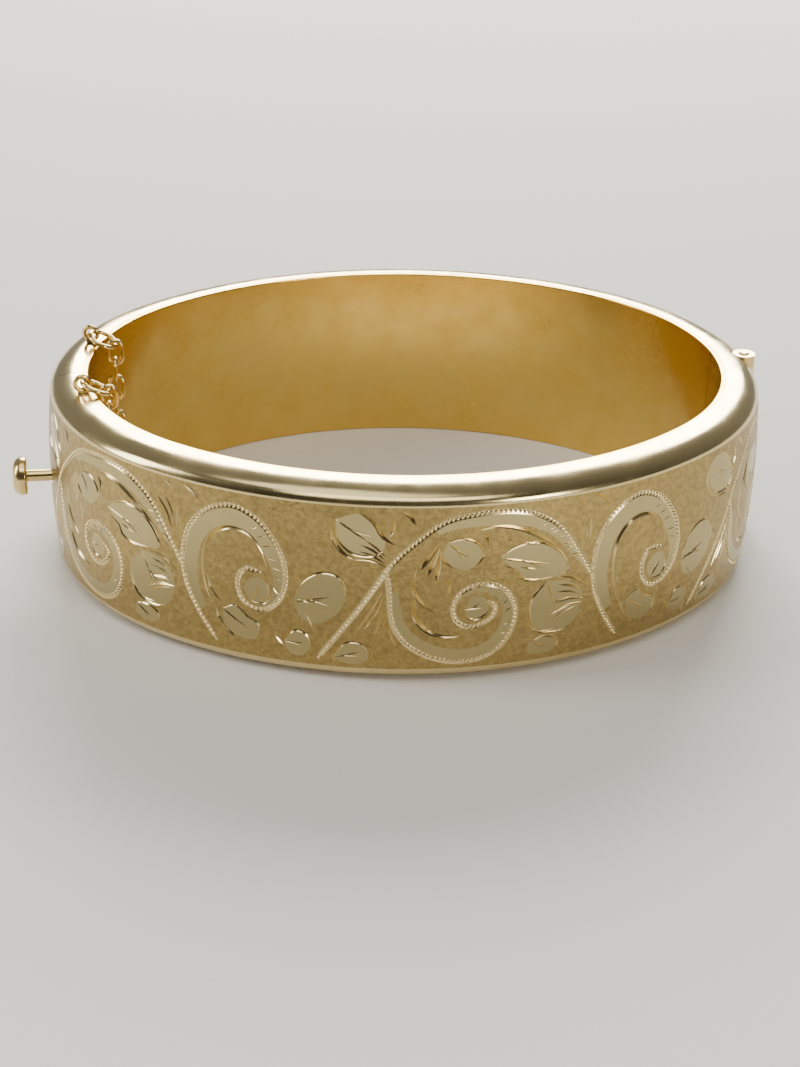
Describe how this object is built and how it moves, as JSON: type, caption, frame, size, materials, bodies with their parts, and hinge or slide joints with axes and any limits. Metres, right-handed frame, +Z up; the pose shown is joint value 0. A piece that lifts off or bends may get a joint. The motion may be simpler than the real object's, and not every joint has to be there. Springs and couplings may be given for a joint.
{
  "type": "hinged bangle bracelet",
  "caption": "Oval hinged bangle bracelet in gold-coloured metal, engraved front, spring clasp with thumb knob, safety chain.",
  "frame": {"origin": "centre of the wrist opening, in the plane of the lower rim that it rests on", "axes": "+X along the long axis of the opening towards the hinge, -Y towards the engraved front, +Z up through the opening"},
  "size_m": [0.0718, 0.06, 0.0197],
  "materials": {
    "engraved_gold": "polished",
    "plain_gold": "polished",
    "lining_gold": "polished",
    "fitting_gold": "polished",
    "spring_gold": "satin",
    "chain_gold": "polished"
  },
  "bodies": {
    "front_half": {"front_shell": "engraved_gold", "front_liner": "lining_gold", "front_hinge_bearer": "fitting_gold", "front_clasp_plate": "fitting_gold", "front_knuckle_1": "fitting_gold", "front_knuckle_3": "fitting_gold", "front_knuckle_5": "fitting_gold", "hinge_pin": "fitting_gold", "front_eye": "chain_gold"},
    "back_half": {"back_shell": "plain_gold", "back_liner": "lining_gold", "back_hinge_bearer": "fitting_gold", "back_clasp_plate": "fitting_gold", "back_knuckle_2": "fitting_gold", "back_knuckle_4": "fitting_gold", "tongue_base": "spring_gold", "back_eye": "chain_gold"},
    "thumb_catch": {"snap_leaf": "spring_gold", "push_stem": "fitting_gold", "push_knob": "fitting_gold"},
    "front_ring": {"front_jump_ring": "chain_gold"},
    "back_ring": {"back_jump_ring": "chain_gold"},
    "front_strand": {"chain_link_01": "chain_gold", "chain_link_02": "chain_gold", "chain_link_03": "chain_gold", "chain_link_04": "chain_gold", "chain_link_05": "chain_gold", "chain_link_06": "chain_gold", "chain_link_07": "chain_gold", "chain_link_08": "chain_gold", "chain_link_09": "chain_gold"},
    "link_10": {"chain_link_10": "chain_gold"},
    "link_11": {"chain_link_11": "chain_gold"},
    "back_strand": {"chain_link_13": "chain_gold", "chain_link_14": "chain_gold", "chain_link_15": "chain_gold", "chain_link_16": "chain_gold", "chain_link_17": "chain_gold", "chain_link_18": "chain_gold", "chain_link_19": "chain_gold", "chain_link_20": "chain_gold", "chain_link_21": "chain_gold"},
    "link_12": {"chain_link_12": "chain_gold"}
  },
  "joints": [
    {"name": "hinge_open", "type": "hinge", "parent": "front_half", "child": "back_half", "pos_m": [0.0334, 0, 0.009], "axis": [0, 0, -1], "range_deg": [0, 14], "deforming": ["snap_leaf"]},
    {"name": "catch_press", "type": "hinge", "parent": "back_half", "child": "thumb_catch", "pos_m": [-0.03091, -0.00875, 0.009], "axis": [0, 0, -1], "range_deg": [0, 6], "stiffness_Nm_per_rad": 0.02},
    {"name": "front_ring_turn", "type": "hinge", "parent": "front_half", "child": "front_ring", "pos_m": [-0.03048, -0.005, 0.01887], "axis": [0, 0, 1], "range_deg": [-15, 15]},
    {"name": "back_ring_turn", "type": "hinge", "parent": "back_half", "child": "back_ring", "pos_m": [-0.02966, 0.008, 0.01887], "axis": [0, 0, 1], "range_deg": [-15, 15]},
    {"name": "front_strand_swing", "type": "hinge", "parent": "front_ring", "child": "front_strand", "pos_m": [-0.02818, -0.00452, 0.01827], "axis": [0.998, -0.0635, 0], "range_deg": [-40, 40]},
    {"name": "link_10_swing", "type": "hinge", "parent": "front_strand", "child": "link_10", "pos_m": [-0.02794, -0.00071, 0.00262], "axis": [0.998, -0.0635, 0], "range_deg": [-25, 25]},
    {"name": "link_11_swing", "type": "hinge", "parent": "link_10", "child": "link_11", "pos_m": [-0.02788, 0.00023, 0.0018], "axis": [0.998, -0.0635, 0], "range_deg": [-20, 20]},
    {"name": "back_strand_swing", "type": "hinge", "parent": "back_ring", "child": "back_strand", "pos_m": [-0.02743, 0.00723, 0.01827], "axis": [0.998, -0.0635, 0], "range_deg": [-40, 40]},
    {"name": "link_12_swing", "type": "hinge", "parent": "back_strand", "child": "link_12", "pos_m": [-0.02767, 0.00342, 0.00262], "axis": [0.998, -0.0635, 0], "range_deg": [-25, 25]}
  ],
  "couplings": [
    {"joint": "front_ring_turn", "follows": "hinge_open", "ratio": -0.38925},
    {"joint": "back_ring_turn", "follows": "hinge_open", "ratio": 0.58848},
    {"joint": "front_strand_swing", "follows": "hinge_open", "ratio": 2.2106},
    {"joint": "link_10_swing", "follows": "hinge_open", "ratio": -1.219},
    {"joint": "link_11_swing", "follows": "hinge_open", "ratio": -0.99161},
    {"joint": "back_strand_swing", "follows": "hinge_open", "ratio": -2.2107},
    {"joint": "link_12_swing", "follows": "hinge_open", "ratio": 1.22}
  ]
}
